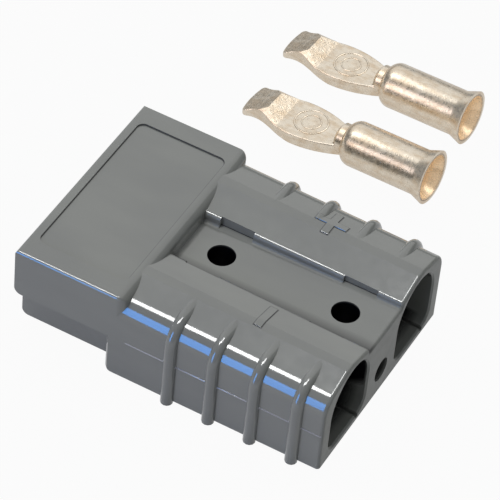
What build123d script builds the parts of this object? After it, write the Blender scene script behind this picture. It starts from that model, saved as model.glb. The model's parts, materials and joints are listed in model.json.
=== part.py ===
from build123d import *
import os
from math import acos, atan2, cos, hypot, radians, sin, sqrt, tan

# Genderless two-pole power connector, in millimetres: a one-piece moulded housing, a
# leaf spring in each of its cavities, and two crimp contacts lying loose beside it.
# X runs along the housing from the mating end to the wire end, Y across it and Z up
# from its flat base. The origin is midway between the mounting holes, on the base.

# Overall sizes of the housing
length = 47.8
width = 34.0
mating_height = 7.15  # the plane on which two connectors meet, above the base
hood_rise = 8.0  # top of the hood above the mating plane
fit_gap = 0.2  # clearance all round between one connector's tongue and the other's hood
plane_gap = 0.1  # how far the tongue stays below the mating plane

# Mounting holes
hole_to_hood = 5.31
hole_to_rear = 6.24
hole_radius = 2.0

# Hood
hood_length = 17.1
hood_wall = 1.8
hood_roof = 2.05
hood_rear_radius = 1.45
hood_edge_radius = 0.5
hood_lip_radius = 1.1
partition_width = 2.6
panel_front = 1.4  # recessed panel, from the mating end
panel_length = 13.9
panel_margin = 3.3  # from the housing's sides
panel_radius = 1.1
panel_depth = 0.25

# Tongue and the channels that hold the contact blades
mating_depth = 14.5  # how far two connectors overlap, and where the barrels step out
tongue_floor = 1.2
tongue_nose_radius = 1.0
channel_step = 1.3  # how much nearer than a cavity's wall each side of its channel is
channel_lip_length = 1.2
channel_lip_height = 1.7

# Barrels and the web between them
barrel_wall_y = 4.45  # inner wall of each barrel from the middle
barrel_draft = 0.28  # how much that wall leans outwards by the wire end
ridge_start = 0.05  # how far the ridge starts below the top of the hood
barrel_fall = 0.9  # how much the ridge has dropped by the wire end
ridge_inner = 0.05  # the ridge's edges, outwards from the middle of the cavity
ridge_outer = 1.55
facet_angle = 15  # slope of the facets on both sides of the ridge
shoulder_radius = 3.1
inner_edge_radius = 0.6
step_radius = 1.0
rear_radius = 0.5
base_chamfer = 0.4
web_top = 12.24
web_foot_radius = 0.45
pocket_length = 5.2
pocket_shift = -0.3  # pocket centre from the hole beside it
pocket_depth = 0.65

# Ribs over the outer side of each barrel
rib_count = 4
rib_to_hood = 7.4  # the first one, from the back of the hood
rib_to_rear = 4.1  # the last one, from the wire end
rib_radius = 0.9
rib_flats = 12  # sides of the polygon that stands for a rib's round section
rib_reach = 1.0  # how far the ribs stand out of the side
rib_end = 1.25  # where they run out on the ridge, from the middle of the cavity
rib_fall = 0.07  # slope of their tops

# Cavities, open at the wire end
cavity_inner_y = 4.25
cavity_outer_wall = 2.35
cavity_floor = 1.45
cavity_roof = 1.05  # least wall above the arch, at the wire end
cavity_corner_radius = 2.0
cavity_rim_chamfer = 0.25
stop_wall = 4.5
passage_height = 6.6
groove_width = 0.7
groove_depth = 0.6
screw_hole_radius = 1.8
screw_hole_depth = 3.4
screw_hole_z = 4.5

# Leaf springs
spring_thickness = 0.45
spring_side_gap = 0.65  # between the strip and each side of the channel
spring_rear = 30.0  # from the mating end
spring_heel = 2.4  # from the stop wall
spring_crown = 10.5
spring_dip = 4.9
spring_tip = 3.1
spring_crown_height = 1.7  # over the channel floor
spring_dip_height = 0.75
spring_tip_height = 1.6
spring_bend = 1.2
flange_clearance = 0.1
flange_length = 8.0

# Crimp contacts, with all stations from the nose
contact_length = 30.8
tube_radius = 3.45
tube_wall = 0.7
tube_full_x = 18.28  # where the shoulder reaches the tube's full radius
tube_shoulder_radius = 1.8
bore_floor = 0.52  # bottom of the bore, past that station
bell_radius = 4.15
bell_length = 1.9
neck_start = 15.3
neck_radius = 2.3
neck_chamfer = 0.45
blade_top = 0.17  # over the tube's axis
blade_thickness = 1.77
nose_half = 3.3
nose_bow = 0.5
nose_corner_radius = 0.6
nose_drop = 0.42  # from the blade's top down to the top of the nose
nose_thickness = 0.6
waist_x = 3.9
waist_half = 2.7
throat_x = 5.5
throat_thickness = 1.22
ramp_foot = 6.2
ramp_half = 3.4
blade_widest = 8.8
blade_half = 3.75
taper_x = 13.2
taper_half = 3.15
root_half = 1.8
crest_x = 4.2
crest_rise = 1.33
crest_half = 1.75
facet_start = 2.2

# Where the loose contacts lie: centre of the bell mouth, and heading in degrees
contact_heading = -3.1
near_bell = (4.68, 37.0)
far_bell = (3.72, 51.0)

# Places worked out from the sizes above
hole_spacing = length - hood_length - hole_to_hood - hole_to_rear
rear_x = hole_spacing / 2 + hole_to_rear
front_x = rear_x - length
step_x = front_x + mating_depth
hood_rear_x = front_x + hood_length
half_width = width / 2
hood_top = mating_height + hood_rise
roof_z = hood_top - hood_roof
tongue_half = half_width - hood_wall - fit_gap
tongue_bottom = mating_height - (roof_z - mating_height) + fit_gap
tongue_top = mating_height - plane_gap
channel_floor = tongue_bottom + tongue_floor
chamber_x = step_x + stop_wall
chamber_length = rear_x - chamber_x
ridge_rear = hood_top - barrel_fall
facet_fall = tan(radians(facet_angle))
cavity_half_width = (half_width - cavity_outer_wall - cavity_inner_y) / 2
cavity_offset = cavity_inner_y + cavity_half_width
cavity_arch_z = ridge_rear - cavity_roof - cavity_half_width
channel_width = 2 * (cavity_half_width - channel_step)
spring_width = channel_width - 2 * spring_side_gap
flange_y = (spring_width - spring_thickness) / 2
overlap = 1.0  # how far a block runs past the face that it joins or cuts


def box_between(low, high, mode=Mode.ADD):
    """Adds or cuts a box between two corners in the open builder."""
    with Locations(tuple((a + b) / 2 for a, b in zip(low, high))):
        Box(*[b - a for a, b in zip(low, high)], mode=mode)


# Hood: a block above the mating plane, still without its cavity
with BuildPart() as hood:
    box_between((front_x, -half_width, mating_height), (hood_rear_x, half_width, hood_top))
    rear_edges = hood.faces().sort_by(Axis.X)[-1].edges()
    fillet(rear_edges.filter_by(Axis.Z) + rear_edges.group_by(Axis.Z)[-1], hood_rear_radius)
    lip_edge = hood.edges().filter_by(Axis.Y).group_by(Axis.Z)[0].sort_by(Axis.X)[0]
    fillet(lip_edge, hood_lip_radius)
    fillet(hood.faces().sort_by(Axis.Z)[-1].edges(), hood_edge_radius)
    with BuildSketch(Plane.XY.offset(hood_top)):
        with Locations((front_x + panel_front + panel_length / 2, 0)):
            RectangleRounded(panel_length, width - 2 * panel_margin, panel_radius)
    extrude(amount=-panel_depth, mode=Mode.SUBTRACT)

# One barrel, on the +Y side: a block cut by its inner wall, its two facets and its ridge
barrel_length = rear_x - step_x
ridge_front = hood_top - ridge_start
wall_run = Vector(barrel_length, barrel_draft, 0)
ridge_run = Vector(barrel_length, 0, ridge_rear - ridge_front)
barrel_cuts = (
    (Vector(step_x, barrel_wall_y, 0), wall_run, Vector(0, 0, 1)),
    (Vector(step_x, cavity_offset + ridge_inner, ridge_front), ridge_run, Vector(0, 1, facet_fall)),
    (Vector(step_x, cavity_offset, ridge_front), ridge_run, Vector(0, 1, 0)),
    (Vector(step_x, cavity_offset + ridge_outer, ridge_front), ridge_run, Vector(0, 1, -facet_fall)),
)
with BuildPart() as barrel:
    box_between((step_x, barrel_wall_y, 0), (rear_x, half_width, hood_top))
    for start, run, across in barrel_cuts:
        cut = Plane(origin=start, x_dir=run, z_dir=run.cross(across))
        split(bisect_by=cut, keep=Keep.BOTTOM)
    middle = (step_x + rear_x) / 2
    shoulder = barrel.edges().sort_by_distance((middle, half_width, ridge_rear))[0]
    fillet(shoulder, shoulder_radius)
    inner_edge = barrel.edges().sort_by_distance((middle, barrel_wall_y, ridge_rear))[0]
    fillet(inner_edge, inner_edge_radius)

# Tongue, still without its channels
with BuildPart() as tongue:
    box_between(
        (front_x + fit_gap, -tongue_half, tongue_bottom),
        (step_x + overlap, tongue_half, tongue_top),
    )
    front_edges = tongue.faces().sort_by(Axis.X)[0].edges()
    fillet(front_edges.group_by(Axis.Z)[0], tongue_nose_radius)

# Housing
with BuildPart() as housing:
    add(barrel.part)
    mirror(about=Plane.XZ)
    web_half = barrel_wall_y + barrel_draft
    box_between((step_x, -web_half, 0), (rear_x, web_half, web_top))
    for side in (-1, 1):
        foot = (middle, side * barrel_wall_y, web_top)
        fillet(housing.edges().sort_by_distance(foot)[0], web_foot_radius)
    rear_edges = housing.faces().sort_by(Axis.X)[-1].edges()
    fillet(rear_edges.group_by(Axis.Z)[1:], rear_radius)
    step_face = housing.faces().sort_by(Axis.X)[0]
    fillet(step_face.edges().group_by(Axis.Z)[0], step_radius)
    base_face = housing.faces().sort_by(Axis.Z)[0]
    chamfer(base_face.edges().group_by(Axis.X)[1:], base_chamfer)
    add(hood.part)
    add(tongue.part)

    # Ribs, each a round rod that sinks into the ridge
    rib_first = hood_length + rib_to_hood
    rib_pitch = (length - rib_to_rear - rib_first) / (rib_count - 1)
    rib_end_y = cavity_offset + rib_end
    for index in range(rib_count):
        station = rib_first + index * rib_pitch
        ridge = hood_top - barrel_fall * (station - mating_depth) / (length - mating_depth)
        rod_y = half_width + rib_reach - rib_radius
        rod_top = ridge - rib_radius
        for side in (-1, 1):
            rod_plane = Plane.YZ.offset(front_x + station)
            with BuildLine(rod_plane):
                rod = FilletPolyline(
                    (side * rod_y, 0),
                    (side * rod_y, rod_top - (rod_y - rib_end_y) * rib_fall),
                    (side * rib_end_y, rod_top),
                    radius=shoulder_radius + rib_reach - rib_radius,
                )
            with BuildSketch(Plane(origin=rod @ 0, x_dir=(1, 0, 0), z_dir=rod % 0)):
                RegularPolygon(rib_radius, rib_flats)
            sweep(path=rod)

    # Cavities, their stop walls and the spring groove in the floor of each
    for side in (-1, 1):
        mouth = Plane(origin=(rear_x, side * cavity_offset, 0), x_dir=(0, 1, 0), z_dir=(1, 0, 0))
        with BuildSketch(mouth) as arch:
            with BuildLine():
                Line((-cavity_half_width, cavity_arch_z), (-cavity_half_width, cavity_floor))
                Line((-cavity_half_width, cavity_floor), (cavity_half_width, cavity_floor))
                Line((cavity_half_width, cavity_floor), (cavity_half_width, cavity_arch_z))
                RadiusArc(
                    (cavity_half_width, cavity_arch_z),
                    (-cavity_half_width, cavity_arch_z),
                    -cavity_half_width,
                )
            make_face()
            fillet(arch.vertices().group_by(Axis.Y)[0], cavity_corner_radius)
        extrude(amount=-chamber_length, mode=Mode.SUBTRACT)
    rims = housing.faces().sort_by(Axis.X)[-1].inner_wires()
    chamfer([edge for rim in rims for edge in rim.edges()], cavity_rim_chamfer)
    for side in (-1, 1):
        middle_y = side * cavity_offset
        groove_y = middle_y + flange_y
        box_between(
            (chamber_x, groove_y - groove_width / 2, cavity_floor - groove_depth),
            (rear_x, groove_y + groove_width / 2, cavity_floor + overlap),
            mode=Mode.SUBTRACT,
        )
        box_between(
            (step_x - overlap, middle_y - channel_width / 2, channel_floor),
            (chamber_x, middle_y + channel_width / 2, channel_floor + passage_height),
            mode=Mode.SUBTRACT,
        )
        box_between(
            (front_x + channel_lip_length, middle_y - channel_width / 2, channel_floor),
            (step_x, middle_y + channel_width / 2, mating_height),
            mode=Mode.SUBTRACT,
        )
        box_between(
            (front_x, middle_y - channel_width / 2, channel_floor + channel_lip_height),
            (front_x + channel_lip_length, middle_y + channel_width / 2, mating_height),
            mode=Mode.SUBTRACT,
        )

    # Hood cavity on each side of the partition, and the slot that takes the other partition
    for side in (-1, 1):
        inner, outer = side * partition_width / 2, side * (half_width - hood_wall)
        box_between(
            (front_x, min(inner, outer), mating_height),
            (step_x, max(inner, outer), roof_z),
            mode=Mode.SUBTRACT,
        )
    slot_half = partition_width / 2 + fit_gap
    box_between(
        (front_x, -slot_half, tongue_bottom),
        (step_x, slot_half, tongue_top),
        mode=Mode.SUBTRACT,
    )

    # Mounting holes, the room for a screw head beside them, and the blind hole in the end
    for hole_x in (-hole_spacing / 2, hole_spacing / 2):
        pocket_half = barrel_wall_y + pocket_depth
        low_x = hole_x + pocket_shift - pocket_length / 2
        box_between(
            (low_x, -pocket_half, web_top),
            (low_x + pocket_length, pocket_half, hood_top),
            mode=Mode.SUBTRACT,
        )
    with BuildSketch(Plane.XY.offset(web_top)):
        with GridLocations(hole_spacing, 0, 2, 1):
            Circle(hole_radius)
    extrude(amount=-web_top, mode=Mode.SUBTRACT)
    with BuildSketch(Plane.YZ.offset(rear_x)):
        with Locations((0, screw_hole_z)):
            Circle(screw_hole_radius)
    extrude(amount=-screw_hole_depth, mode=Mode.SUBTRACT)

# Leaf spring: a strip with a flange that slides in the groove of the cavity floor
with BuildPart() as spring:
    strip_z = cavity_floor + spring_thickness / 2
    leaf_z = channel_floor + spring_thickness / 2
    with BuildLine(Plane.XZ):
        leaf = FilletPolyline(
            (front_x + spring_rear, strip_z),
            (chamber_x + spring_heel, strip_z),
            (chamber_x, leaf_z + fit_gap),
            (front_x + spring_crown, leaf_z + spring_crown_height),
            (front_x + spring_dip, leaf_z + spring_dip_height),
            (front_x + spring_tip, leaf_z + spring_tip_height),
            radius=spring_bend,
        )
    with BuildSketch(Plane(origin=leaf @ 0, x_dir=(0, 1, 0), z_dir=leaf % 0)):
        Rectangle(spring_width, spring_thickness)
    sweep(path=leaf)
    box_between(
        (front_x + spring_rear - flange_length, spring_width / 2 - spring_thickness,
         cavity_floor - groove_depth + flange_clearance),
        (front_x + spring_rear, spring_width / 2, strip_z),
    )

# Contact, lying along X with its nose at the origin and the tube's axis on X
shoulder_step = tube_radius - neck_radius
shoulder_start = tube_full_x - sqrt(shoulder_step * (2 * tube_shoulder_radius - shoulder_step))
blade_low = blade_top - blade_thickness
nose_top = blade_top - nose_drop
crest_top = blade_top + crest_rise
with BuildPart() as blade:
    with BuildSketch(Plane.XZ):
        with BuildLine():
            Polyline(
                (0, nose_top),
                (crest_x, crest_top),
                (ramp_foot, blade_top),
                (shoulder_start, blade_top),
                (shoulder_start, blade_low),
                (blade_widest, blade_low),
                (throat_x, blade_top - throat_thickness),
                (0, nose_top - nose_thickness),
                close=True,
            )
        make_face()
    extrude(amount=blade_half + overlap, both=True)
    with BuildSketch(Plane.XY.offset(blade_low)) as outline:
        with BuildLine():
            Spline(
                (nose_bow, nose_half),
                (waist_x, waist_half),
                (ramp_foot, ramp_half),
                (blade_widest, blade_half),
                (taper_x, taper_half),
                (shoulder_start, root_half),
            )
            Line((shoulder_start, root_half), (shoulder_start, 0))
            mirror(about=Plane.XZ)
            ThreePointArc((nose_bow, nose_half), (0, 0), (nose_bow, -nose_half))
        make_face()
        fillet(outline.vertices().group_by(Axis.X)[0], nose_corner_radius)
    extrude(amount=blade_thickness + crest_rise, mode=Mode.INTERSECT)

    # A slanted facet on each side, from the front of the crest to the foot of its ramp
    for side in (-1, 1):
        facet_z = nose_top + (crest_top - nose_top) * facet_start / crest_x
        nose_end = Vector(facet_start, side * nose_half, facet_z)
        crest_end = Vector(crest_x, side * crest_half, crest_top)
        ramp_end = Vector(ramp_foot, side * ramp_half, blade_top)
        facet_normal = (ramp_end - crest_end).cross(nose_end - crest_end) * side
        with BuildSketch(Plane(crest_end, x_dir=ramp_end - crest_end, z_dir=facet_normal)) as facet:
            to_local = facet.workplanes[0].to_local_coords
            corners = [to_local(point) for point in (nose_end, crest_end, ramp_end)]
            with BuildLine():
                Polyline(*corners, close=True)
            make_face()
        extrude(amount=crest_rise, mode=Mode.SUBTRACT)

with BuildPart() as contact:
    bell_start = contact_length - bell_length
    bore_radius = tube_radius - tube_wall
    bore_end = tube_full_x + bore_floor
    with BuildSketch(Plane.XZ):
        with BuildLine():
            Polyline(
                (bore_end - bore_radius / 2, 0),
                (neck_start, 0),
                (neck_start, neck_radius - neck_chamfer),
                (neck_start + neck_chamfer, neck_radius),
                (shoulder_start, neck_radius),
            )
            RadiusArc((shoulder_start, neck_radius), (tube_full_x, tube_radius), tube_shoulder_radius)
            Polyline(
                (tube_full_x, tube_radius),
                (bell_start, tube_radius),
                (contact_length, bell_radius),
                (contact_length, bell_radius - tube_wall),
                (bell_start, bore_radius),
                (bore_end, bore_radius),
                (bore_end - bore_radius / 2, 0),
            )
        make_face()
    revolve(axis=Axis.X)
    add(blade.part)

# Each loose contact rests on the rim of its bell and on the tube's rounded shoulder
shoulder_run = contact_length - tube_full_x
shoulder_drop = bell_radius - tube_radius + tube_shoulder_radius
shoulder_reach = hypot(shoulder_run, shoulder_drop)
rise = acos(tube_shoulder_radius / shoulder_reach) - atan2(shoulder_run, shoulder_drop)
heading = radians(contact_heading)
along = Vector(cos(rise) * cos(heading), cos(rise) * sin(heading), sin(rise))
across = Vector(-sin(heading), cos(heading), 0)


def contact_plane(bell):
    """Returns the plane of a contact that lies on the base plane with its bell mouth at bell."""
    x, y = bell
    mouth = Vector(x, y, bell_radius * cos(rise))
    return Plane(mouth - along * contact_length, x_dir=along, z_dir=along.cross(across))


with BuildPart() as contact_near:
    with Locations(contact_plane(near_bell).location):
        add(contact.part)
with BuildPart() as contact_far:
    with Locations(contact_plane(far_bell).location):
        add(contact.part)
with BuildPart() as spring_near:
    with Locations((0, -cavity_offset, 0)):
        add(spring.part)
with BuildPart() as spring_far:
    with Locations((0, cavity_offset, 0)):
        add(spring.part)

housing.part.label = "housing"
contact_near.part.label = "contact_near"
contact_far.part.label = "contact_far"
spring_near.part.label = "spring_near"
spring_far.part.label = "spring_far"

os.makedirs("parts", exist_ok=True)
export_step(housing.part, "parts/housing.step")
export_step(contact_near.part, "parts/contact_near.step")
export_step(contact_far.part, "parts/contact_far.step")
export_step(spring_near.part, "parts/spring_near.step")
export_step(spring_far.part, "parts/spring_far.step")
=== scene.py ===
"""Dresses a genderless power connector: its moulded housing, two crimp contacts and springs."""

from __future__ import annotations

import json
import logging
import math
from dataclasses import dataclass, field
from enum import Enum
from typing import Callable

import bmesh
import bpy
from mathutils import Matrix, Quaternion, Vector


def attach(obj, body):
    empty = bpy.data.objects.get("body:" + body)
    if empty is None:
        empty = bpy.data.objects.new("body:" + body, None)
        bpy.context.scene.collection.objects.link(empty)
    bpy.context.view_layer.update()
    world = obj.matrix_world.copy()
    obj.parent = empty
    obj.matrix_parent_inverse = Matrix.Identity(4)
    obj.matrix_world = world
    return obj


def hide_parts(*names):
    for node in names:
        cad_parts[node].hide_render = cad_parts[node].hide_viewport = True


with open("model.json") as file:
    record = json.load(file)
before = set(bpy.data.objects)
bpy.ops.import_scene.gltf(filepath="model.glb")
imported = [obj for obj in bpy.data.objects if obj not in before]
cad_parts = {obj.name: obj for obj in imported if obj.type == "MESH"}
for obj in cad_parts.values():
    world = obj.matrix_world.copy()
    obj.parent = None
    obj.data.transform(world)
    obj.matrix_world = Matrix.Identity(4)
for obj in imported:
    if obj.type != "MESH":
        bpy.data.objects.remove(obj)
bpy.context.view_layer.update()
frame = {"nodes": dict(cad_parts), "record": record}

LOG = logging.getLogger("connector")
MM = 0.001
BODY = "root"
WELD = 1e-6
NOISE_RANGE = (0.3, 0.7)

Pair = tuple[float, float]
Triple = tuple[float, float, float]


class Slot(Enum):
    """The record's material slots."""

    PLASTIC = "housing_plastic"
    PLATE = "silver_plate"


class Element(Enum):
    """The parts of a mesh that can be picked, with the name of their list."""

    FACE = "faces"
    EDGE = "edges"
    VERT = "verts"


class Reach(Enum):
    """What a lamp's light does."""

    ALL = "lights surfaces and shows in them"
    MIRROR = "only shows as a reflection"
    SOFT = "only lights surfaces"


class Wire:
    """A number that flows through a material, for shader maths written as expressions."""

    def __init__(self, bench: Bench, socket: bpy.types.NodeSocket) -> None:
        """Wraps a socket.

        Args:
            bench: The material's bench, which adds the nodes.
            socket: The output socket that holds the number.
        """
        self.bench = bench
        self.socket = socket

    def __add__(self, other: Value) -> Wire:
        """Adds."""
        return self.bench.math("ADD", self, other)

    def __sub__(self, other: Value) -> Wire:
        """Subtracts."""
        return self.bench.math("SUBTRACT", self, other)

    def __rsub__(self, other: Value) -> Wire:
        """Subtracts from a number."""
        return self.bench.math("SUBTRACT", other, self)

    def __mul__(self, other: Value) -> Wire:
        """Multiplies."""
        return self.bench.math("MULTIPLY", self, other)

    __radd__ = __add__
    __rmul__ = __mul__


Value = Wire | float | tuple


class Bench:
    """Builds one material's nodes."""

    def __init__(self, name: str) -> None:
        """Makes a material with an empty node tree and its output.

        Args:
            name: The material's name.
        """
        self.material = bpy.data.materials.new(name)
        self.material.use_nodes = True
        self.tree = self.material.node_tree
        self.tree.nodes.clear()
        self.output = self.tree.nodes.new("ShaderNodeOutputMaterial")

    def node(self, kind: str, settings: dict[str, object], inputs: dict[str | int, Value],
             output: str | int = 0) -> Wire:
        """Adds a node.

        Args:
            kind: The node's type.
            settings: Its settings, by attribute.
            inputs: Values or wires, by socket name or number.
            output: The socket that is wanted.

        Returns:
            The wanted output.
        """
        made = self.tree.nodes.new(kind)
        for name, value in settings.items():
            setattr(made, name, value)
        for name, value in inputs.items():
            if isinstance(value, Wire):
                self.tree.links.new(value.socket, made.inputs[name])
            else:
                made.inputs[name].default_value = value
        return Wire(self, made.outputs[output])

    def math(self, operation: str, *values: Value) -> Wire:
        """Returns the result of a Math node."""
        return self.node("ShaderNodeMath", {"operation": operation}, dict(enumerate(values)))

    def places(self, scale: Triple = (1.0, 1.0, 1.0)) -> Wire:
        """Returns object coordinates, in millimetres, multiplied along each axis."""
        here = self.node("ShaderNodeTexCoord", {}, {}, "Object")
        return self.stretch(here, tuple(value / MM for value in scale))

    def places_in(self, place: Matrix) -> Wire:
        """Returns coordinates in millimetres in a piece's own frame.

        Args:
            place: Where that frame stands in the model.

        Returns:
            The coordinates.
        """
        here = self.node("ShaderNodeTexCoord", {}, {}, "Object")
        local = self.node("ShaderNodeMapping", {"vector_type": "TEXTURE"},
                          {0: here, 1: place.to_translation(), 2: place.to_euler()})
        return self.stretch(local, (1 / MM, 1 / MM, 1 / MM))

    def stretch(self, where: Wire, scale: Triple) -> Wire:
        """Returns coordinates multiplied along each axis."""
        return self.node("ShaderNodeMapping", {}, {0: where, 3: scale})

    def split(self, where: Wire) -> tuple[Wire, Wire, Wire]:
        """Returns the three numbers of a coordinate."""
        first = self.node("ShaderNodeSeparateXYZ", {}, {0: where})
        return first, *(Wire(self, output) for output in first.socket.node.outputs[1:3])

    def near_zero(self, value: Wire) -> Wire:
        """Returns a number without its sign."""
        return self.math("ABSOLUTE", value)

    def larger(self, first: Value, second: Value) -> Wire:
        """Returns the larger of two numbers."""
        return self.math("MAXIMUM", first, second)

    def smaller(self, first: Value, second: Value) -> Wire:
        """Returns the smaller of two numbers."""
        return self.math("MINIMUM", first, second)

    def far(self, first: Wire, second: Wire) -> Wire:
        """Returns how far a point is from zero on two axes."""
        return self.math("SQRT", first * first + second * second)

    def noise(self, where: Wire, waves: float, detail: float = 3.0, rough: float = 0.5) -> Wire:
        """Returns a noise, from 0 to 1, at a number of waves for each unit of its coordinates."""
        return self.node("ShaderNodeTexNoise", {"noise_dimensions": "3D"},
                         {"Vector": where, "Scale": waves, "Detail": detail, "Roughness": rough})

    def fit(self, value: Wire, low: float, high: float, to_low: float = 0.0,
            to_high: float = 1.0) -> Wire:
        """Returns a number moved from one range to another, and kept inside it."""
        return self.node("ShaderNodeMapRange", {"clamp": True},
                         {0: value, 1: low, 2: high, 3: to_low, 4: to_high})

    def mix(self, share: Value, first: Value, second: Triple) -> Wire:
        """Returns a colour or a wire mixed with a second colour."""
        first = first if isinstance(first, Wire) else (*first, 1.0)
        return self.node("ShaderNodeMix", {"data_type": "RGBA"},
                         {0: share, 6: first, 7: (*second, 1.0)}, 2)

    def bump(self, height: Wire, depth: float, strength: float) -> Wire:
        """Returns a normal bent by a height, with its depth in millimetres."""
        return self.node("ShaderNodeBump", {}, {"Height": height, "Distance": depth * MM,
                                                "Strength": strength})

    def finish(self, shader: Wire) -> bpy.types.Material:
        """Links a shader to the output and returns the material."""
        self.tree.links.new(shader.socket, self.output.inputs[0])
        return self.material


@dataclass(frozen=True)
class HousingSizes:
    """The housing's sizes in millimetres, and how its shades fade in.

    A fade is a pair: where a shade begins, and where it is full. Most are distances from the
    size that they are used with. The cavities' inner, outer, floor and end fades are coordinates.
    """

    hole_radius: float
    hole_spacing: float
    rear_x: float = 15.815
    rim_x: float = 15.315
    step_x: float = -17.485
    half_width: float = 17.0
    web_top: float = 12.24
    wall_y: float = 4.45
    wall_draft: float = 0.28
    end_hole: Pair = (1.8, 4.5)
    panel: tuple[float, float, float, float] = (-23.635, 0.0, 6.95, 13.7)
    panel_radius: float = 1.1
    panel_floor: float = 14.9
    seam: tuple[float, float, float, float] = (-14.7, 15.4, 7.3, 6.9)
    mark_width: float = 1.15
    minus_centre: Pair = (1.75, -8.25)
    minus_length: float = 4.9
    plus_centre: Pair = (1.0, 11.7)
    plus_length: float = 4.8
    outline_length: float = 4.85

    round_fade: Pair = (0.08, 0.02)
    hole_fade: Pair = (0.0, 0.4)
    blind_fade: Pair = (0.1, 1.2)
    cavity_inner_fade: Pair = (4.08, 4.12)
    cavity_outer_fade: Pair = (14.3, 14.0)
    cavity_floor_fade: Pair = (1.0, 1.1)
    cavity_end_fade: Pair = (-13.2, -13.0)
    cavity_slope: tuple[float, float, float, float] = (4.5, 6.0, 11.9, 13.0)
    cavity_roof_fade: Pair = (0.0, 0.1)
    cavity_mouth_fade: Pair = (0.3, 0.6)
    cavity_depth_fade: Pair = (1.2, 3.8)
    lit_wall_top: float = 4.5
    lit_wall_lean: float = 1.6
    panel_line_fade: Pair = (0.11, 0.03)
    panel_line_inset: float = 0.04
    panel_side_fade: Pair = (0.5, 1.2)
    mark_line_fade: Pair = (0.12, 0.04)
    mark_line_inset: float = -0.05
    line_height_fade: Pair = (0.0, 0.3)
    groove_reach_fade: Pair = (1.9, 0.0)
    groove_wall_fade: Pair = (0.75, 0.25)
    groove_front_fade: Pair = (2.4, 2.8)
    groove_floor_fade: Pair = (0.4, 0.2)
    seam_width_fade: Pair = (0.17, 0.08)
    seam_inner_fade: Pair = (0.1, 0.02)
    seam_outer_fade: Pair = (0.3, 0.2)
    seam_front_fade: Pair = (0.0, 0.5)
    rear_fade: Pair = (0.45, 0.15)
    rear_share: float = 0.75
    wall_over_fade: Pair = (0.30, 0.20)
    wall_under_fade: Pair = (0.6, 0.4)
    wall_front_fade: Pair = (2.5, 2.7)
    wall_height_fade: Pair = (0.3, 0.0)

    @classmethod
    def from_record(cls) -> HousingSizes:
        """Returns the sizes, with the mounting holes' own from the record."""
        holes = find_mount("mounting_holes")["dims"]
        return cls(holes["hole_r_mm"], holes["spacing_x_mm"])


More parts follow.
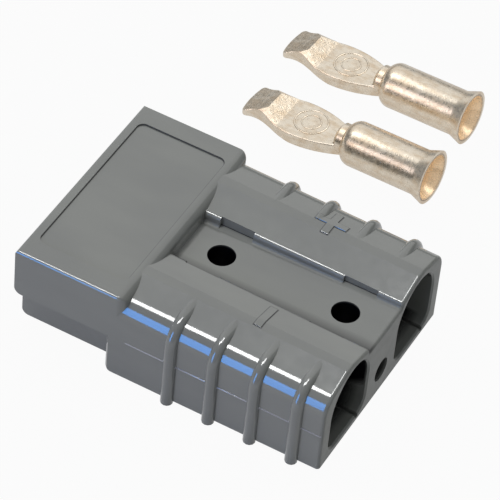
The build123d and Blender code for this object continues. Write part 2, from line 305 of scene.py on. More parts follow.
class HousingShades:
    """Numbers that are 1 on one part of the housing and 0 elsewhere."""

    def __init__(self, sizes: HousingSizes, bench: Bench, where: Wire) -> None:
        """Splits the coordinates that the shades read.

        Args:
            sizes: The housing's sizes.
            bench: The material's bench.
            where: Object coordinates, in millimetres.
        """
        self.sizes = sizes
        self.bench = bench
        self.x, self.y, self.z = bench.split(where)
        self.side = bench.near_zero(self.y)

    def _above(self, value: Wire, size: float, fade: Pair) -> Wire:
        """Returns a shade that fades in over distances past a size."""
        return self.bench.fit(value, size + fade[0], size + fade[1])

    def _below(self, value: Wire, size: float, fade: Pair) -> Wire:
        """Returns a shade that fades in over distances short of a size."""
        return self.bench.fit(value, size - fade[0], size - fade[1])

    def hollows(self) -> Wire:
        """Returns the painted shade of the holes and the wire cavities.

        Returns:
            The painted shade, full deep inside them.
        """
        sizes, bench = self.sizes, self.bench
        across = bench.far(bench.near_zero(self.x) - sizes.hole_spacing / 2, self.y)
        hole = self._above(across, sizes.hole_radius, sizes.round_fade)
        hole = hole * self._below(self.z, sizes.web_top, sizes.hole_fade)
        radius, height = sizes.end_hole
        blind = self._above(bench.far(self.y, self.z - height), radius, sizes.round_fade)
        blind = blind * self._below(self.x, sizes.rear_x, sizes.blind_fade)
        return bench.larger(hole, bench.larger(self._cavities(), blind))

    def _cavities(self) -> Wire:
        """Returns the painted shade of the wire cavities.

        Returns:
            The painted shade, which begins further in on the walls that the light reaches.
        """
        sizes, fit = self.sizes, self.bench.fit
        roof = fit(self.side, *sizes.cavity_slope)
        inside = fit(self.side, *sizes.cavity_inner_fade) * fit(self.side, *sizes.cavity_outer_fade)
        inside = inside * fit(self.z, *sizes.cavity_floor_fade)
        inside = inside * fit(roof - self.z, *sizes.cavity_roof_fade)
        lean = self.bench.larger(self.z - sizes.lit_wall_top, 0.0) * sizes.lit_wall_lean
        inside = inside * self._above(lean - self.x, -sizes.rear_x, sizes.cavity_depth_fade)
        inside = inside * self._below(self.x, sizes.rear_x, sizes.cavity_mouth_fade)
        return inside * fit(self.x, *sizes.cavity_end_fade)

    def _edge(self, centre: Pair, half: Pair, radius: float = 0.0) -> Wire:
        """Returns how far a point is outside a rounded rectangle, below zero inside it.

        Args:
            centre: The rectangle's middle, seen from above.
            half: Half its length and half its width.
            radius: Its corners' radius.

        Returns:
            The distance.
        """
        bench = self.bench
        across = bench.near_zero(self.x - centre[0]) - (half[0] - radius)
        along = bench.near_zero(self.y - centre[1]) - (half[1] - radius)
        outside = bench.far(bench.larger(across, 0.0), bench.larger(along, 0.0))
        return outside + bench.smaller(bench.larger(across, along), 0.0) - radius

    def outlines(self) -> Wire:
        """Returns the painted shade lines round the hood's panel and round the marks.

        Returns:
            The painted shade lines, with the panel's near side left open.
        """
        sizes, bench = self.sizes, self.bench
        short, long = sizes.mark_width / 2, sizes.outline_length / 2
        panel = self._edge(sizes.panel[:2], sizes.panel[2:], sizes.panel_radius)
        line = bench.fit(bench.near_zero(panel + sizes.panel_line_inset), *sizes.panel_line_fade)
        line = line * self._above(self.y, -sizes.panel[3], sizes.panel_side_fade)
        bar = self._edge(sizes.minus_centre, (short, long))
        cross = bench.smaller(self._edge(sizes.plus_centre, (short, long)),
                              self._edge(sizes.plus_centre, (long, short)))
        for mark in (bar, cross):
            line = bench.larger(line, bench.fit(bench.near_zero(mark + sizes.mark_line_inset),
                                                *sizes.mark_line_fade))
        return line * self._above(self.z, sizes.web_top, sizes.line_height_fade)

    def groove(self) -> Wire:
        """Returns the painted shade in the groove where the near barrel meets the web.

        Returns:
            The painted shade, full at the barrel's foot.
        """
        sizes = self.sizes
        shade = self._above(self.y, -sizes.wall_y, sizes.groove_reach_fade)
        shade = shade * self._below(self.y, -sizes.wall_y, sizes.groove_wall_fade)
        shade = shade * self._above(self.x, sizes.step_x, sizes.groove_front_fade)
        return shade * self._below(self.z, sizes.web_top, sizes.groove_floor_fade)

    def parting(self) -> Wire:
        """Returns the parting lines of the barrels' sides, painted pale as a highlight.

        Returns:
            The lines of painted highlight.
        """
        sizes, fit = self.sizes, self.bench.fit
        off = self.bench.near_zero(self.z - fit(self.x, *sizes.seam))
        line = fit(off, *sizes.seam_width_fade)
        line = line * self._below(self.side, sizes.half_width, sizes.seam_inner_fade)
        line = line * self._above(self.side, sizes.half_width, sizes.seam_outer_fade)
        return line * self._above(self.x, sizes.seam[0], sizes.seam_front_fade)

    def matt_places(self) -> Wire:
        """Returns the shade of the wire end's face and the barrels' inner walls.

        Returns:
            The shade.
        """
        sizes, bench = self.sizes, self.bench
        rear = self._below(self.x, sizes.rear_x, sizes.rear_fade) * sizes.rear_share
        past = self.side - bench.fit(self.x, sizes.step_x, sizes.rear_x,
                                     sizes.wall_y, sizes.wall_y + sizes.wall_draft)
        wall = self._above(past, 0.0, sizes.wall_over_fade)
        wall = wall * self._below(past, 0.0, sizes.wall_under_fade)
        wall = wall * self._above(self.x, sizes.step_x, sizes.wall_front_fade)
        wall = wall * self._below(self.z, sizes.web_top, sizes.wall_height_fade)
        return bench.larger(rear, wall)


@dataclass(frozen=True)
class MouldedPlastic:
    """The housing's grey plastic: glossy, with faint flow marks, a fine skin, painted shade in its
    hollows, groove and outlines, and a painted highlight on its parting lines.
    """

    name: str = "moulded_plastic"
    grey: Triple = (0.222, 0.226, 0.205)
    deep: Triple = (0.200, 0.204, 0.188)
    # Near black, for the painted shade of the hollows and of the dark lines.
    hidden: Triple = (0.010, 0.008, 0.011)
    # Pale, for the painted highlight along the parting lines.
    flash: Triple = (0.40, 0.40, 0.42)
    outline_share: float = 0.62
    groove_share: float = 0.75
    flow_stretch: Triple = (0.4, 1.0, 1.0)
    flow_waves: float = 0.16
    flow_range: Pair = (0.35, 0.65)
    skin_waves: float = 0.8
    speck_waves: float = 9.0
    fine_detail: float = 2.0
    speck_share: float = 0.3
    skin_depth: float = 0.004
    skin_strength: float = 0.12
    roughness: float = 0.13
    roughness_range: Pair = (0.10, 0.18)
    matt: float = 0.5
    index: float = 1.37
    coat: float = 0.9
    coat_roughness: float = 0.05
    coat_index: float = 1.6

    def make(self, sizes: HousingSizes) -> bpy.types.Material:
        """Makes the material.

        Args:
            sizes: The housing's sizes, which say where its hollows and outlines are.

        Returns:
            The material.
        """
        bench = Bench(self.name)
        where = bench.places()
        shades = HousingShades(sizes, bench, where)
        flow = bench.noise(bench.places(self.flow_stretch), self.flow_waves, self.fine_detail)
        colour = bench.mix(bench.fit(flow, *self.flow_range), self.deep, self.grey)
        # Painted shade: dark lines round the panel and the marks, and in the groove at the near
        # barrel's foot.
        line = bench.larger(shades.outlines() * self.outline_share,
                            shades.groove() * self.groove_share)
        hollow = shades.hollows()
        colour = bench.mix(line, colour, self.hidden)
        # Painted highlight: a pale line along each parting line.
        colour = bench.mix(shades.parting(), colour, self.flash)
        # Painted shade: the holes and cavities turn near black, and Metallic follows them below to
        # keep them dark.
        colour = bench.mix(hollow, colour, self.hidden)
        skin = bench.noise(where, self.skin_waves)
        speck = bench.noise(where, self.speck_waves, self.fine_detail)
        dry = bench.larger(shades.matt_places(), hollow)
        rough = bench.fit(skin, *NOISE_RANGE, *self.roughness_range)
        rough = rough + dry * (self.matt - self.roughness)
        normal = bench.bump(speck * self.speck_share + skin, self.skin_depth, self.skin_strength)
        return bench.finish(bench.node("ShaderNodeBsdfPrincipled", {}, {
            "Base Color": colour, "Roughness": rough, "Normal": normal, "Metallic": hollow,
            "IOR": self.index, "Coat Weight": (1 - dry) * self.coat,
            "Coat Roughness": self.coat_roughness, "Coat IOR": self.coat_index,
        }))


@dataclass(frozen=True)
class ContactSizes:
    """One crimp contact's sizes in millimetres, along its axis from the nose."""

    length: float = 30.8
    mount_x: float = 23.85
    bell_start: float = 28.9
    flare: float = 0.7
    bore_start: float = 17.4
    bore_radius: float = 2.75
    blade_top: float = 0.17
    root_x: float = 16.5
    ring_place: Pair = (10.4, 0.2)
    rings: tuple[Pair, ...] = ((2.5, 0.15), (1.45, 0.13))
    edge_round: float = 0.16


@dataclass(frozen=True)
class PlatedMetal:
    """The contacts' silver plate, warm and mottled, with a pale golden lining in the barrel and a
    painted shade line at the mouth's lip.
    """

    name: str
    place: Matrix
    bright: Triple = (0.90, 0.80, 0.66)
    dull: Triple = (0.76, 0.62, 0.46)
    # Stains the pits, and paints the shade line at the mouth's lip.
    stain: Triple = (0.30, 0.22, 0.15)
    gold: Triple = (0.96, 0.77, 0.54)
    oxide: float = 0.6
    streak_stretch: Triple = (0.3, 1.0, 1.0)
    streak_waves: float = 1.6
    patch_waves: float = 0.5
    dent_waves: float = 1.7
    pit_waves: float = 3.2
    fine_detail: float = 4.0
    rough: float = 0.6
    pit_rough: float = 0.7
    worn_shares: Pair = (0.5, 0.5)
    worn_range: Pair = (0.44, 0.62)
    pit_range: Pair = (0.60, 0.72)
    pit_share: float = 0.75
    bore_fade: Pair = (0.15, 0.05)
    bore_run: float = 0.1
    lip_offset: float = 0.12
    lip_fade: Pair = (0.16, 0.06)
    lip_run: Pair = (0.25, 0.12)
    lip_share: float = 0.8
    roughness_range: Pair = (0.21, 0.38)
    relief: Triple = (0.6, 0.4, 0.3)
    relief_depth: float = 0.05
    relief_strength: float = 0.5

    def make(self, sizes: ContactSizes) -> bpy.types.Material:
        """Makes the material.

        Args:
            sizes: The contact's sizes, which say where its bore is.

        Returns:
            The material.
        """
        bench = Bench(self.name)
        where = bench.places_in(self.place)
        streaks = bench.noise(bench.stretch(where, self.streak_stretch), self.streak_waves,
                              self.fine_detail, self.rough)
        patches = bench.noise(where, self.patch_waves)
        dents = bench.noise(where, self.dent_waves, rough=self.rough)
        pits = bench.noise(where, self.pit_waves, self.fine_detail, self.pit_rough)
        worn = streaks * self.worn_shares[0] + patches * self.worn_shares[1]
        worn = bench.fit(worn, *self.worn_range)
        colour = bench.mix(worn, self.bright, self.dull)
        pitted = bench.fit(pits, *self.pit_range, 0.0, self.pit_share)
        colour = bench.mix(pitted, colour, self.stain)
        inside, lip = self._mouth(bench, where, sizes)
        colour = bench.mix(inside, colour, self.gold)
        # Painted shade: a dark line round the mouth's lip.
        colour = bench.mix(lip, colour, self.stain)
        rough = bench.fit(dents, *NOISE_RANGE, *self.roughness_range)
        height = dents * self.relief[0] + pits * self.relief[1] + streaks * self.relief[2]
        normal = bench.bump(height, self.relief_depth, self.relief_strength)
        return bench.finish(bench.node("ShaderNodeBsdfPrincipled", {}, {
            "Base Color": colour, "Roughness": rough, "Normal": normal,
            "Metallic": 1 - inside * self.oxide,
        }))

    def _mouth(self, bench: Bench, where: Wire, sizes: ContactSizes) -> tuple[Wire, Wire]:
        """Finds the bore's lining and the painted shade line at the mouth's lip.

        Args:
            bench: The material's bench.
            where: Coordinates in the contact's own frame.
            sizes: The contact's sizes.

        Returns:
            The lining's mask, and the painted shade of the lip.
        """
        x, y, z = bench.split(where)
        bore = bench.far(y, z) - bench.fit(x, sizes.bell_start, sizes.length, 0.0, sizes.flare)
        begin, full = self.bore_fade
        inside = bench.fit(bore, sizes.bore_radius + begin, sizes.bore_radius + full)
        inside = inside * bench.fit(x, sizes.bore_start, sizes.bore_start + self.bore_run)
        lip = bench.fit(bench.near_zero(bore - sizes.bore_radius - self.lip_offset), *self.lip_fade)
        begin, full = self.lip_run
        lip = lip * bench.fit(x, sizes.length - begin, sizes.length - full, 0.0, self.lip_share)
        return inside, lip


@dataclass(frozen=True)
class SpringSteel:
    """The leaf springs' rolled stainless strip."""

    name: str = "spring_steel"
    grey: Triple = (0.56, 0.57, 0.58)
    pale: Triple = (0.68, 0.69, 0.70)
    line_stretch: Triple = (0.2, 8.0, 8.0)
    line_waves: float = 1.5
    line_depth: float = 0.004
    line_strength: float = 0.3
    roughness_range: Pair = (0.26, 0.38)

    def make(self) -> bpy.types.Material:
        """Makes the material.

        Returns:
            The material.
        """
        bench = Bench(self.name)
        lines = bench.noise(bench.places(self.line_stretch), self.line_waves)
        return bench.finish(bench.node("ShaderNodeBsdfPrincipled", {}, {
            "Base Color": bench.mix(lines, self.grey, self.pale), "Metallic": 1.0,
            "Roughness": bench.fit(lines, *NOISE_RANGE, *self.roughness_range),
            "Normal": bench.bump(lines, self.line_depth, self.line_strength),
        }))


@dataclass(frozen=True)
class WhitePaper:
    """The pale floor, which the camera sees near white and which keeps a faint shadow."""

    name: str = "white_paper"
    white: float = 0.9
    seen_share: float = 0.95
    mirrored_share: float = 0.5
    grain_waves: float = 0.05
    grain_detail: float = 2.0
    grain_range: Pair = (0.89, 0.90)

    def make(self) -> bpy.types.Material:
        """Makes the material.

        Returns:
            The material.
        """
        bench = Bench(self.name)
        camera, glossy, clear = (bench.node("ShaderNodeLightPath", {}, {}, f"Is {ray} Ray")
                                 for ray in ("Camera", "Glossy", "Transmission"))
        share = camera * self.seen_share + (glossy + clear) * self.mirrored_share
        grain = bench.noise(bench.places(), self.grain_waves, self.grain_detail)
        paper = bench.node("ShaderNodeBsdfDiffuse", {}, {
            "Color": (self.white, self.white, self.white, 1.0),
            "Roughness": bench.fit(grain, *NOISE_RANGE, *self.grain_range),
        })
        glow = bench.node("ShaderNodeEmission", {}, {
            "Color": (1.0, 1.0, 1.0, 1.0), "Strength": 1.0,
        })
        return bench.finish(bench.node("ShaderNodeMixShader", {}, {0: share, 1: paper, 2: glow}))


@dataclass
class Housing:
    """The moulded housing, with its polarity marks and the parting lines on its sides.

    Its sizes are in millimetres.
    """

    sizes: HousingSizes = field(default_factory=HousingSizes.from_record)
    node: str = "housing"
    smooth_angle: float = math.radians(14.5)
    rib_angle: Pair = (math.radians(28.0), math.radians(31.5))
    rim_slack: float = 0.03
    panel_slack: float = 0.1
    proud_range: Pair = (-0.01, 0.21)
    mark_start_z: float = 20.0
    mark_height: float = 0.14
    mark_cell: float = 0.115
    mark_edge: float = 0.05
    mark_edge_segments: int = 2
    mark_edge_angle: float = math.radians(50)
    mark_smooth_angle: float = math.radians(30)
    seam_radius: float = 0.12
    seam_sides: int = 10
    seam_flatness: float = 0.7
    seam_end_angle: float = math.radians(60)
    seam_smooth_angle: float = math.radians(50)

    def build(self) -> list[bpy.types.Object]:
        """Builds and dresses the housing's pieces.

        Returns:
            The pieces.
        """
        sizes = self.sizes
        plastic = MouldedPlastic().make(sizes)
        pieces = [
            self._shell(),
            self._mark("minus_mark", sizes.minus_centre, sizes.minus_length, False),
            self._mark("plus_mark", sizes.plus_centre, sizes.plus_length, True),
            self._seam("near_parting_line", -sizes.half_width),
            self._seam("far_parting_line", sizes.half_width),
        ]
        for piece in pieces:
            settle(piece, plastic)
        return pieces

    def _shell(self) -> bpy.types.Object:
        """Copies the housing, smooth over its rounds and its ribs and crisp at its rim.

        Returns:
            The merged copy.
        """
        shell = welded_copy(self.node, "moulded_housing", self.smooth_angle)
        self._level_panel(shell)
        low, high = self.rib_angle
        crease(shell, lambda edge: low < edge.calc_face_angle(0.0) < high, False)
        crease(shell, self._on_rim, True)
        return shell

    def _on_rim(self, edge: bmesh.types.BMEdge) -> bool:
        """Tells whether an edge lies where the walls meet the wire end's rounded rim."""
        return all(abs(corner.co.x / MM - self.sizes.rim_x) < self.rim_slack
                   for corner in edge.verts)

    def _level_panel(self, shell: bpy.types.Object) -> None:
        """Presses the barrels' front ends flat where they stand up through the panel's floor.

        Args:
            shell: The housing's merged copy.
        """
        middle, _, half_length, half_width = self.sizes.panel
        front, rear = self.sizes.step_x - self.panel_slack, middle + half_length + self.panel_slack
        low, high = self.proud_range

        def proud(corner: bmesh.types.BMVert) -> bool:
            """Tells whether a corner stands up inside the panel.

            Args:
                corner: The corner.

            Returns:
                Whether it does.
            """
            x, y, z = corner.co / MM
            inside = front < x < rear and abs(y) < half_width - self.panel_slack
            return inside and low < z - self.sizes.panel_floor < high

        pick(shell, Element.VERT, proud)
        in_edit_mode(bpy.ops.transform.resize, value=(1, 1, 0),
                     center_override=(0, 0, self.sizes.panel_floor * MM))
        smooth(shell, self.smooth_angle)

    def _mark(self, name: str, centre: Pair, length: float, crossed: bool) -> bpy.types.Object:
        """Lays a thin raised mark on a barrel's ridge.

        Args:
            name: The piece's name.
            centre: Its middle, seen from above.
            length: The length of its bar.
            crossed: Whether a second bar crosses the first.

        Returns:
            The mark.
        """
        cells = 2 * round(length / self.mark_cell / 2)
        clear_selection()
        bpy.ops.mesh.primitive_grid_add(x_subdivisions=cells, y_subdivisions=cells,
                                        size=length * MM,
                                        location=Vector((*centre, self.mark_start_z)) * MM)
        mark = bpy.context.active_object
        mark.name = name
        half = self.sizes.mark_width / 2

        def spare(face: bmesh.types.BMFace) -> bool:
            """Tells whether a face of the grid is outside the bars."""
            x, y, _ = face.calc_center_median() / MM
            return abs(x) > half and (abs(y) > half or not crossed)

        pick(mark, Element.FACE, spare)
        in_edit_mode(bpy.ops.mesh.delete, type="FACE")
        bpy.ops.object.transform_apply(location=True, rotation=True, scale=True)
        drape = mark.modifiers.new("drape", "SHRINKWRAP")
        drape.target = frame["nodes"][self.node]
        drape.wrap_method = "PROJECT"
        drape.use_project_z = True
        drape.use_negative_direction = True
        drape.use_positive_direction = False
        thick = mark.modifiers.new("thick", "SOLIDIFY")
        thick.thickness = 2 * self.mark_height * MM
        thick.offset = 0.0
        edge = mark.modifiers.new("edge", "BEVEL")
        edge.width = self.mark_edge * MM
        edge.segments = self.mark_edge_segments
        edge.angle_limit = self.mark_edge_angle
        apply_modifiers(mark)
        smooth(mark, self.mark_smooth_angle)
        return mark

    def _seam(self, name: str, side_y: float) -> bpy.types.Object:
        """Lays the thin line that the mould leaves along one side.

        Args:
            name: The piece's name.
            side_y: Where that side is.

        Returns:
            The line.
        """
        front_x, rear_x, front_z, rear_z = self.sizes.seam
        front = Vector((front_x, side_y, front_z)) * MM
        rear = Vector((rear_x, side_y, rear_z)) * MM
        middle = (front + rear) / 2
        turn = (rear - front).to_track_quat("Z", "Y").to_euler()
        clear_selection()
        bpy.ops.mesh.primitive_cylinder_add(vertices=self.seam_sides, radius=self.seam_radius * MM,
                                            depth=(rear - front).length, location=middle,
                                            rotation=turn)
        seam = bpy.context.active_object
        seam.name = name
        bpy.ops.object.mode_set(mode="EDIT")
        bpy.ops.mesh.select_all(action="SELECT")
        bpy.ops.transform.resize(value=(1, self.seam_flatness, 1), center_override=middle)
        bpy.ops.object.mode_set(mode="OBJECT")
        bpy.ops.object.transform_apply(location=True, rotation=True, scale=True)
        ends = seam.modifiers.new("ends", "BEVEL")
        ends.width = self.seam_radius * MM / 2
        ends.angle_limit = self.seam_end_angle
        apply_modifiers(seam)
        smooth(seam, self.seam_smooth_angle)
        return seam


@dataclass
class Contacts:
    """The two loose crimp contacts, with the plain rings stamped on their blades."""

    sizes: ContactSizes = ContactSizes()
    names: tuple[str, ...] = ("near", "far")
    smooth_angle: float = math.radians(24)
    crease_angle: float = math.radians(40)
    top_slope: float = 0.8
    side_slope: float = 0.5
    round_segments: int = 3
    ring_segments: int = 72
    ring_sides: int = 10
    ring_flatness: float = 0.6
    ring_smooth_angle: float = math.radians(60)

    def build(self) -> list[bpy.types.Object]:
        """Builds and dresses both contacts.

        Returns:
            The pieces.
        """
        pieces = []
        for name in self.names:
            place = self._place(find_mount(f"{name}_wire_barrel"))
            plate = PlatedMetal(f"silver_plate_{name}", place).make(self.sizes)
            contact = [self._body(name, place)]
            for index, (radius, wire) in enumerate(self.sizes.rings):
                contact.append(self._ring(f"{name}_ring_{index + 1}", place, radius, wire))
            for piece in contact:
                settle(piece, plate)
            pieces += contact
        return pieces

    def _place(self, mount: dict[str, object]) -> Matrix:
        """Finds a contact's own frame, with its nose at zero and X along its axis.

        Args:
            mount: The record's mount of its wire barrel.

        Returns:
            The frame.
        """
        along = Vector(mount["axis"]).normalized()
        across = Vector((0, 0, 1)).cross(along).normalized()
        nose = Vector(mount["pos_m"]) - along * self.sizes.mount_x * MM
        turn = Matrix((along, across, along.cross(across))).transposed()
        return Matrix.Translation(nose) @ turn.to_4x4()

    def _body(self, name: str, place: Matrix) -> bpy.types.Object:
        """Copies a contact and rounds the edges of its blade's top.

        Args:
            name: Which contact it is.
            place: The contact's own frame.

        Returns:
            The merged copy.
        """
        body = welded_copy(f"contact_{name}", f"{name}_contact", self.smooth_angle)
        to_local = place.inverted()
        root = self.sizes.root_x * MM

        def rounded(edge: bmesh.types.BMEdge) -> bool:
            """Tells whether an edge is on the outline of the blade's top.

            Args:
                edge: The edge.

            Returns:
                Whether it is.
            """
            beyond = (to_local @ edge.verts[0].co).x > root
            if beyond or edge.calc_face_angle(0.0) < self.crease_angle:
                return False
            slopes = sorted(face.normal.z for face in edge.link_faces)
            return slopes[1] > self.top_slope and slopes[0] < self.side_slope

        pick(body, Element.EDGE, rounded)
        in_edit_mode(bpy.ops.mesh.bevel, offset=self.sizes.edge_round * MM,
                     segments=self.round_segments, clamp_overlap=False, loop_slide=False)
        smooth(body, self.smooth_angle)
        return body

    def _ring(self, name: str, place: Matrix, radius: float, wire: float) -> bpy.types.Object:
        """Lays a low round ring on a blade.

        Args:
            name: The piece's name.
            place: The contact's own frame.
            radius: The ring's radius, in millimetres.
            wire: Half its width, in millimetres.

        Returns:
            The ring.
        """
        middle = place @ (Vector((*self.sizes.ring_place, self.sizes.blade_top)) * MM)
        clear_selection()
        bpy.ops.mesh.primitive_torus_add(major_segments=self.ring_segments,
                                         minor_segments=self.ring_sides,
                                         major_radius=radius * MM, minor_radius=wire * MM,
                                         location=middle, rotation=place.to_euler())
        ring = bpy.context.active_object
        ring.name = name
        ring.scale = (1, 1, self.ring_flatness)
        bpy.ops.object.transform_apply(location=True, rotation=True, scale=True)
        smooth(ring, self.ring_smooth_angle)
        return ring


@dataclass
class Springs:
    """The leaf springs in the cavities."""

    nodes: tuple[str, ...] = ("spring_near", "spring_far")

    def dress(self) -> list[bpy.types.Object]:
        """Gives each spring its finish.

        Returns:
            The springs.
        """
        steel = SpringSteel().make()
        springs = [frame["nodes"][name] for name in self.nodes]
        for spring in springs:
            paint(spring, steel)
        return springs


@dataclass(frozen=True)
class Lamp:
    """An area lamp that looks at the object from a bearing, a height and a distance.

    Its angles are in degrees, its sizes in metres and its power in watts. It may light one
    sub-assembly alone, and may be seen only as a reflection.
    """

    name: str
    azimuth: float
    elevation: float
    distance: float
    width: float
    height: float
    power: float
    colour: Triple = (1.0, 1.0, 1.0)
    group: str = ""
    reach: Reach = Reach.ALL

    def hang(self, target: Vector, groups: dict[str, list[bpy.types.Object]]) -> None:
        """Adds the lamp.

        Args:
            target: The point that it looks at.
            groups: The pieces of each sub-assembly.
        """
        light = bpy.data.lights.new(self.name, "AREA")
        light.shape = "RECTANGLE"
        light.size = self.width
        light.size_y = self.height
        light.energy = self.power
        light.color = self.colour
        lamp = bpy.data.objects.new(self.name, light)
        azimuth, elevation = math.radians(self.azimuth), math.radians(self.elevation)
        towards = Vector((math.sin(azimuth) * math.cos(elevation),
                          -math.cos(azimuth) * math.cos(elevation), math.sin(elevation)))
        lamp.location = target + towards * self.distance
        lamp.rotation_euler = towards.to_track_quat("Z", "Y").to_euler()
        bpy.context.scene.collection.objects.link(lamp)
        lamp.visible_diffuse = self.reach is not Reach.MIRROR
        lamp.visible_glossy = self.reach is not Reach.SOFT
        if self.group:
            lit = bpy.data.collections.new(f"lit_by_{self.name}")
            for piece in groups[self.group]:
                lit.objects.link(piece)
            lamp.light_linking.receiver_collection = lit


@dataclass
class Studio:
    """The floor, the lamps, the world and the camera."""

    eye: Vector = field(default_factory=lambda: Vector((0.13257, -0.29486, 0.35286)))
    aim: Vector = field(default_factory=lambda: Vector((-0.009405, 0.00847, 0.006)))
    roll: float = math.radians(5.899)
    lens: float = 250.7
    sensor: float = 36.0
    near_clip: float = 0.01
    floor_size: float = 6.0
    floor_z: float = -0.02 * MM
    world_strength: float = 0.25
    world_colour: Triple = (0.90, 0.95, 1.0)
    lamps: tuple[Lamp, ...] = (
        Lamp("overhead_strip", -64.0, 72.0, 1.0, 0.24, 0.34, 3.8, group="housing"),
        Lamp("rib_strip", 180.0, 87.0, 1.0, 0.30, 0.42, 4.0, group="housing", reach=Reach.MIRROR),
        Lamp("back_softbox", -155.0, 50.0, 1.4, 2.4, 1.9, 8.1),
        Lamp("cool_fill", -20.0, 15.0, 1.2, 1.2, 0.8, 5.0, (0.60, 0.66, 1.0), "housing",
             Reach.SOFT),
        Lamp("blue_panel", -22.0, 18.5, 0.9, 0.34, 0.56, 4.4, (0.05, 0.34, 1.0), "housing",
             Reach.MIRROR),
        Lamp("metal_top", -60.0, 72.0, 1.0, 0.9, 0.5, 2.2, (1.0, 0.98, 0.97), "contacts"),
        Lamp("metal_side", -20.0, 22.0, 1.1, 1.2, 0.7, 4.9, (1.0, 0.90, 0.92), "contacts"),
        Lamp("mouth_fill", 162.0, 60.0, 1.0, 0.5, 0.5, 1.8, (1.0, 0.95, 0.88), "contacts"),
        Lamp("lining_fill", 75.0, 25.0, 1.0, 1.0, 0.8, 7.0, (1.0, 0.88, 0.74), "contacts",
             Reach.SOFT),
    )

    def build(self, groups: dict[str, list[bpy.types.Object]]) -> None:
        """Builds the whole studio.

        Args:
            groups: The pieces of each sub-assembly, which some lamps light alone.
        """
        self._lay_floor()
        for lamp in self.lamps:
            lamp.hang(self.aim, groups)
        self._set_world()
        self._place_camera()
        bpy.context.scene.view_settings.view_transform = "Standard"

    def _lay_floor(self) -> None:
        """Lays the floor under the object."""
        clear_selection()
        bpy.ops.mesh.primitive_plane_add(size=self.floor_size, location=(0, 0, self.floor_z))
        floor = bpy.context.active_object
        floor.name = "floor"
        floor.data.materials.append(WhitePaper().make())

    def _set_world(self) -> None:
        """Sets the world's light."""
        world = bpy.data.worlds.new("studio_world")
        world.use_nodes = True
        back = world.node_tree.nodes["Background"]
        back.inputs[0].default_value = (*self.world_colour, 1.0)
        back.inputs[1].default_value = self.world_strength
        bpy.context.scene.world = world

    def _place_camera(self) -> None:
        """Puts the camera where the photograph was taken from."""
        lens = bpy.data.cameras.new("camera")
        lens.lens = self.lens
        lens.sensor_width = self.sensor
        lens.clip_start = self.near_clip
        camera = bpy.data.objects.new("camera", lens)
        camera.location = self.eye
        look = (self.aim - self.eye).to_track_quat("-Z", "Y")
        camera.rotation_mode = "QUATERNION"
        camera.rotation_quaternion = look @ Quaternion((0, 0, 1), self.roll)
        bpy.context.scene.collection.objects.link(camera)
        bpy.context.scene.camera = camera


def find_mount(name: str) -> dict[str, object]:
    """Returns one of the record's mounts, by its name."""
    return next(mount for mount in frame["record"]["mounts"] if mount["name"] == name)


def clear_selection() -> None:
    """Deselects everything, in object mode."""
    if bpy.context.object and bpy.context.object.mode != "OBJECT":
        bpy.ops.object.mode_set(mode="OBJECT")
    bpy.ops.object.select_all(action="DESELECT")


def select_only(piece: bpy.types.Object) -> None:
    """Selects one piece, which the next operators act on.

    Args:
        piece: The piece.
    """
    clear_selection()
    piece.select_set(True)
    bpy.context.view_layer.objects.active = piece


def in_edit_mode(act: Callable[..., object], **settings: object) -> None:
    """Runs one operator on what is picked of the selected piece.

    Args:
        act: The operator.
        settings: Its settings.
    """
    bpy.ops.object.mode_set(mode="EDIT")
    act(**settings)
    bpy.ops.object.mode_set(mode="OBJECT")


def welded_copy(node: str, name: str, angle: float) -> bpy.types.Object:
    """Copies a node's mesh, merges its loose triangles and shades it smooth.

    Args:
        node: The node that the copy stands for.
        name: The copy's name.
        angle: The largest angle between faces that is smoothed.

    Returns:
        The copy.
    """
    piece = bpy.data.objects.new(name, frame["nodes"][node].data.copy())
    bpy.context.scene.collection.objects.link(piece)
    select_only(piece)
    bpy.ops.mesh.customdata_custom_splitnormals_clear()
    bpy.ops.object.mode_set(mode="EDIT")
    bpy.ops.mesh.select_all(action="SELECT")
    bpy.ops.mesh.remove_doubles(threshold=WELD)
    bpy.ops.object.mode_set(mode="OBJECT")
    bpy.ops.object.shade_smooth_by_angle(angle=angle)
    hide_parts(node)
    return piece


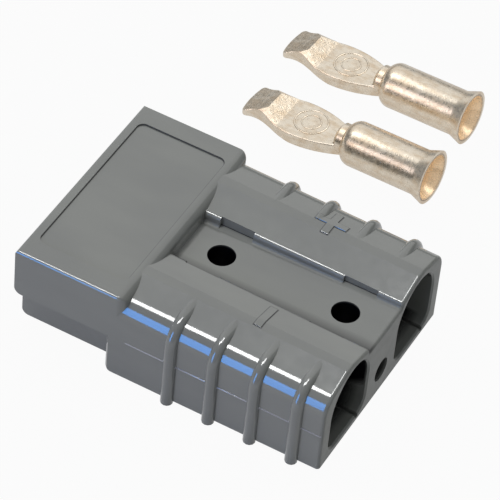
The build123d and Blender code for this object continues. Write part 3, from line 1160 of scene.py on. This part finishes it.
def pick(piece: bpy.types.Object, element: Element, chosen: Callable[[object], bool]) -> None:
    """Selects the faces, edges or corners of a mesh that a test picks, and nothing else.

    Args:
        piece: The piece whose mesh is searched.
        element: What is picked.
        chosen: The test.
    """
    select_only(piece)
    bpy.ops.object.mode_set(mode="EDIT")
    bpy.ops.mesh.select_mode(type=element.name)
    bpy.ops.mesh.select_all(action="DESELECT")
    shape = bmesh.from_edit_mesh(piece.data)
    for part in getattr(shape, element.value):
        if chosen(part):
            part.select_set(True)
    bmesh.update_edit_mesh(piece.data)
    bpy.ops.object.mode_set(mode="OBJECT")


def crease(piece: bpy.types.Object, chosen: Callable[[bmesh.types.BMEdge], bool],
           sharp: bool) -> None:
    """Makes the edges that a test picks sharp or smooth.

    Args:
        piece: The piece.
        chosen: The test.
        sharp: Whether they become sharp.
    """
    pick(piece, Element.EDGE, chosen)
    in_edit_mode(bpy.ops.mesh.mark_sharp, clear=not sharp)


def apply_modifiers(piece: bpy.types.Object) -> None:
    """Applies all of a piece's modifiers, in order.

    Args:
        piece: The piece.
    """
    select_only(piece)
    for modifier in list(piece.modifiers):
        bpy.ops.object.modifier_apply(modifier=modifier.name)


def smooth(piece: bpy.types.Object, angle: float) -> None:
    """Shades a piece smooth where its faces meet at less than an angle."""
    select_only(piece)
    bpy.ops.object.shade_smooth_by_angle(angle=angle)


def settle(piece: bpy.types.Object, material: bpy.types.Material) -> None:
    """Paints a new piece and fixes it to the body.

    Args:
        piece: The piece.
        material: Its material.
    """
    paint(piece, material)
    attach(piece, BODY)


def paint(piece: bpy.types.Object, material: bpy.types.Material) -> None:
    """Gives every material slot of a piece one material.

    Args:
        piece: The piece to paint.
        material: Its material.
    """
    if not piece.data.materials:
        piece.data.materials.append(material)
    for index in range(len(piece.data.materials)):
        piece.data.materials[index] = material


def main() -> None:
    """Builds the sub-assemblies in turn, and the studio round them."""
    logging.basicConfig(level=logging.INFO, format="%(name)s %(message)s")
    groups = {
        "housing": Housing().build(),
        "contacts": Contacts().build(),
        "springs": Springs().dress(),
    }
    Studio().build(groups)
    for name, pieces in groups.items():
        for piece in pieces:
            LOG.info("dressed %s of %s", piece.name, name)


if __name__ == "__main__":
    main()
